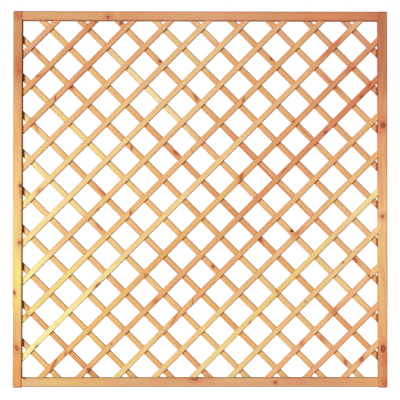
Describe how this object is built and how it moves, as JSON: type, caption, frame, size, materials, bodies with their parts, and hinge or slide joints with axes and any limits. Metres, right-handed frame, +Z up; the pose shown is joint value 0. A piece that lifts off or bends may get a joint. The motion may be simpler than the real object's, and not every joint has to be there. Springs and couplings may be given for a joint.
{
  "type": "diagonal trellis panel",
  "caption": "Square garden trellis panel: thin wooden slats cross on the diagonal in two layers, with their ends held in a grooved square timber frame.",
  "frame": {"origin": "on the outer side face of the left stile, at the middle of its depth and level with the middle of the panel's height; the left stile is the one at the left of the front view", "axes": "+X across the panel to the right stile, +Z up, -Y out of the front, the side where the slats lean like a slash"},
  "size_m": [1.795, 0.044, 1.804],
  "materials": {
    "frame_timber": "planed softwood, honey brown stain, eased edges",
    "slat_timber": "planed softwood, honey brown stain that varies from straw to russet"
  },
  "bodies": {
    "root": {"left_stile": "frame_timber", "right_stile": "frame_timber", "bottom_rail": "frame_timber", "top_rail": "frame_timber", "front_slat_01": "slat_timber", "front_slat_02": "slat_timber", "front_slat_03": "slat_timber", "front_slat_04": "slat_timber", "front_slat_05": "slat_timber", "front_slat_06": "slat_timber", "front_slat_07": "slat_timber", "front_slat_08": "slat_timber", "front_slat_09": "slat_timber", "front_slat_10": "slat_timber", "front_slat_11": "slat_timber", "front_slat_12": "slat_timber", "front_slat_13": "slat_timber", "front_slat_14": "slat_timber", "front_slat_15": "slat_timber", "front_slat_16": "slat_timber", "front_slat_17": "slat_timber", "front_slat_18": "slat_timber", "back_slat_01": "slat_timber", "back_slat_02": "slat_timber", "back_slat_03": "slat_timber", "back_slat_04": "slat_timber", "back_slat_05": "slat_timber", "back_slat_06": "slat_timber", "back_slat_07": "slat_timber", "back_slat_08": "slat_timber", "back_slat_09": "slat_timber", "back_slat_10": "slat_timber", "back_slat_11": "slat_timber", "back_slat_12": "slat_timber", "back_slat_13": "slat_timber", "back_slat_14": "slat_timber", "back_slat_15": "slat_timber", "back_slat_16": "slat_timber", "back_slat_17": "slat_timber", "back_slat_18": "slat_timber"}
  },
  "joints": []
}
